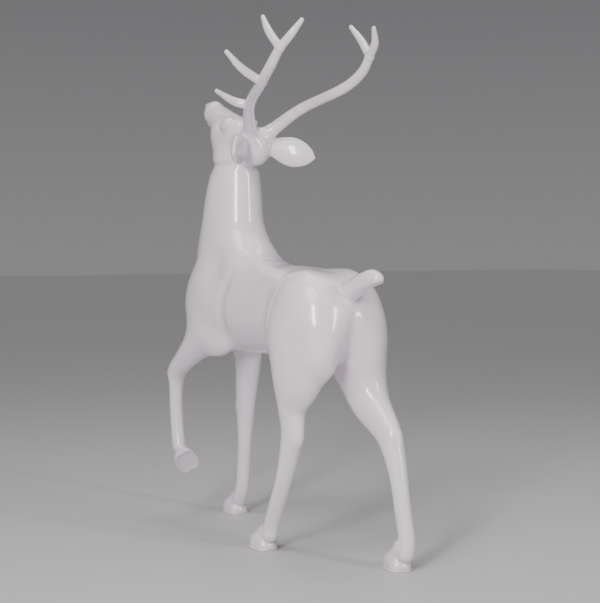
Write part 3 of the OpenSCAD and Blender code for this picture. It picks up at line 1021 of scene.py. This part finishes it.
def joined(first, second):
    """Two skins that meet along a plane, made one by sharing the points on it."""
    mesh = mesh_from(*first)
    verts = [mesh.verts.new(p) for p in second[0]]
    for face in second[1]:
        mesh.faces.new([verts[i] for i in face])
    bmesh.ops.remove_doubles(mesh, verts=mesh.verts[:], dist=SAME_POINT)
    return points_and_faces(mesh)


for side_name, side in SIDES:
    name = f"torso_{side_name}_shell"
    outline = [half(side), level(NECK_SEAM, UP), level(HIND_LEG_SEAM, DOWN)]
    whole = cut_by(*body_without_tail, outline)
    front = cut_by(*whole, [(WAIST, BEHIND), level(FRONT_LEG_SEAM, DOWN)])
    back = cut_by(*whole, [(WAIST, AHEAD)])
    planes = outline + [level(FRONT_LEG_SEAM, DOWN), TAIL_CUT]
    points, faces = joined(front, back)
    moulding(name, flesh, points, faces, planes, body_lacquer, STAG, name, MASS_STEP)

# %% Neck mouldings
for side_name, side in SIDES:
    name = f"neck_{side_name}_shell"
    planes = [half(side), level(HEAD_SEAM, UP), level(NECK_SEAM, DOWN)]
    points, faces = cut_by(body_points, body_quads, planes)
    moulding(name, flesh, points, faces, planes, body_lacquer, STAG, name, MASS_STEP)

# %% Leg mouldings
PASTERN_REACH = 0.16

for foot in FEET:
    end, side_name = foot.split("_")
    name = f"leg_{foot}_shell"
    top, far_side = (FRONT_LEG_SEAM, BEHIND) if end == "front" else (HIND_LEG_SEAM, AHEAD)
    planes = [half(dict(SIDES)[side_name]), level(top, UP), (WAIST, far_side)]
    seam = hoof_seam(foot, True)
    points, faces = cut_near(*cut_by(body_points, body_quads, planes), seam[0], PASTERN_REACH, seam, False)
    planes.append(seam)
    moulding(name, flesh, points, faces, planes, body_lacquer, STAG, name, MASS_STEP)

# %% [markdown]
# ## Hooves and pads
# The hooves get a finer skin, because their creases are only a few millimetres wide. The pad
# under each is a plate with two lobes and a raised rim, which shows on the lifted foot.


# %% Hoof castings
HOOF_MIDDLE, HOOF_REACH = 0.04, 0.115

for foot in FEET:
    name = f"hoof_{foot}"
    place, axes = foot_frames[foot]
    centre = place + axes[:, 2] * HOOF_MIDDLE
    planes = [hoof_seam(foot, False), (place + axes[:, 2] * SOLE_TOP, -axes[:, 2])]
    points, faces = cut_by(*skin(flesh, FINE_CELL, centre - HOOF_REACH, centre + HOOF_REACH), planes)
    moulding(name, flesh, points, faces, planes, hoof_lacquer, STAG, name)


# %% Pads
class Pad:
    """A plate of two lobes with rounded edges, hollowed a little underneath."""

    low, high = np.array([-0.05, -0.066, -0.002]), np.array([0.05, 0.057, 0.010])

    def lobes(self, points):
        across, along = np.abs(points[:, 0]), points[:, 1]
        reach = np.clip(along, -0.031, 0.021)
        claws = np.hypot(np.maximum(across - 0.013, 0), along - reach) - 0.029
        middle_oval = np.hypot(across, along + 0.006) - 0.045
        notch = np.hypot(across * 1.7, along + 0.070) - 0.018
        return smooth_cut(smooth_join(claws, middle_oval, 0.006), notch, 0.005)

    def plate(self, outline, rise, half_height, soft):
        over = np.stack([outline + soft, np.abs(rise) - half_height + soft], 1)
        return np.linalg.norm(np.maximum(over, 0), axis=1) + np.minimum(over.max(1), 0) - soft

    def distance(self, points, close=False):
        outline = self.lobes(points)
        pad = self.plate(outline, points[:, 2] - SOLE_TOP / 2, SOLE_TOP / 2, 0.003)
        hollow = self.plate(outline + 0.011, points[:, 2], 0.002, 0.0015)
        return smooth_cut(pad, hollow, 0.0015)


BOLT_HOLE = [(0, 34, -30, 5.5), (0, 34, 30, 5.5)]  # in the pads that stand on the ground
PAD_CELL = FINE_CELL * 0.7

for foot in FEET:
    name = f"sole_{foot}"
    pad = Clay()
    pad.add(Pad())
    if foot != "front_left":
        pad.cut(small_part(BOLT_HOLE))
    form = Placed(pad, *foot_frames[foot])
    points, quads = skin(form, PAD_CELL)
    mesh = bpy.data.meshes.new(name)
    mesh.from_pydata(points.tolist(), [], quads.tolist())
    mesh.materials.append(sole_satin)
    corner_normals = unit_rows(slope(form, points))[quads.reshape(-1)]
    finished_piece(name, mesh, corner_normals, STAG, name)

# %% [markdown]
# ## Head, ears, antlers and tail
# The head has the finest skin. The ears come off it where a small plane crosses each root. The
# antlers come off at the planes that they stand on, and ride on bodies of their own, because
# they lift off their pegs. Those planes are read from the steel: a peg gives the direction, and
# the top of its socket gives the height.


# %% Where the antlers stand
def antler_foot(side_name):
    peg = np.array([v.co for v in frame["nodes"][f"antler_peg_{side_name}"].data.vertices])
    axis = np.linalg.svd(peg - peg.mean(0), full_matrices=False)[2][0]
    axis = axis if axis[2] > 0 else -axis
    socket = np.array([v.co for v in frame["nodes"][f"antler_socket_{side_name}"].data.vertices])
    return peg.mean(0) + ((socket - peg.mean(0)) @ axis).max() * axis, axis


antler_feet = {side: antler_foot(side_name) for side_name, side in SIDES}
print("antler foot", antler_feet[1][0].round(4), "axis", antler_feet[1][1].round(3))

# %% Skin of the head
EAR_CUT = EAR_ROOT + 0.030 * EAR_AXIS
EAR_MIDDLE = EAR_ROOT + 0.110 * EAR_AXIS
EAR_REACH = 0.100
BELOW_SEAM = 0.05
head_low = np.array([-FAR_AWAY, -FAR_AWAY, HEAD_SEAM - BELOW_SEAM])
head_points, head_quads = skin(flesh, FINE_CELL, head_low)
print("head skin", len(head_points), "points")

# %% Head mouldings, ears and antler castings
for side_name, side in SIDES:
    flip = np.array([side, 1, 1])
    ear_cut = (EAR_CUT * flip, EAR_AXIS * flip)
    near_ear = (EAR_MIDDLE * flip, EAR_REACH)
    name = f"ear_{side_name}"
    points, faces = cut_near(head_points, head_quads, *near_ear, ear_cut, True)
    back_plane = (ear_cut[0], -ear_cut[1])
    moulding(name, flesh, points, faces, [back_plane], body_lacquer, STAG, name)
    bare = cut_near(head_points, head_quads, *near_ear, ear_cut, False)
    name = f"head_{side_name}_shell"
    place, axis = antler_feet[side]
    planes = [half(side), level(HEAD_SEAM, DOWN), (place, axis)]
    points, faces = cut_by(*bare, planes)
    planes.append(ear_cut)
    moulding(name, flesh, points, faces, planes, body_lacquer, STAG, name)
    name = f"antler_{side_name}"
    foot_plane = (place, -axis)
    points, faces = cut_by(*bare, [half(side), foot_plane])
    moulding(name, flesh, points, faces, [foot_plane], antler_lacquer, name, name)

# %% Tail
TAIL_BOX = 0.10
TAIL_FACE = (TAIL_CUT[0], -TAIL_CUT[1])
tail_skin = skin(flesh, FINE_CELL, TAIL_MIDDLE - TAIL_BOX, TAIL_MIDDLE + TAIL_BOX)
points, faces = cut_near(*tail_skin, TAIL_MIDDLE, TAIL_REACH, TAIL_CUT, True)
moulding("tail", flesh, points, faces, [TAIL_FACE], body_lacquer, STAG, "tail")

# %% [markdown]
# ## Frame, boards and bolts
# These parts have the right shape as they come, so they stay and only get their finishes.

# %% Finish the inside parts
replaced = {node for thing in bpy.data.objects for node in thing.get("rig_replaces", [])}
slot_of = {part["node"]: part["material_slot"] for part in frame["record"]["subparts"]}
for name, node in frame["nodes"].items():
    if name not in replaced:
        node.data.materials.clear()
        node.data.materials.append(inside_finish[slot_of[name]])
print("inside parts", sorted(n for n in frame["nodes"] if n not in replaced))
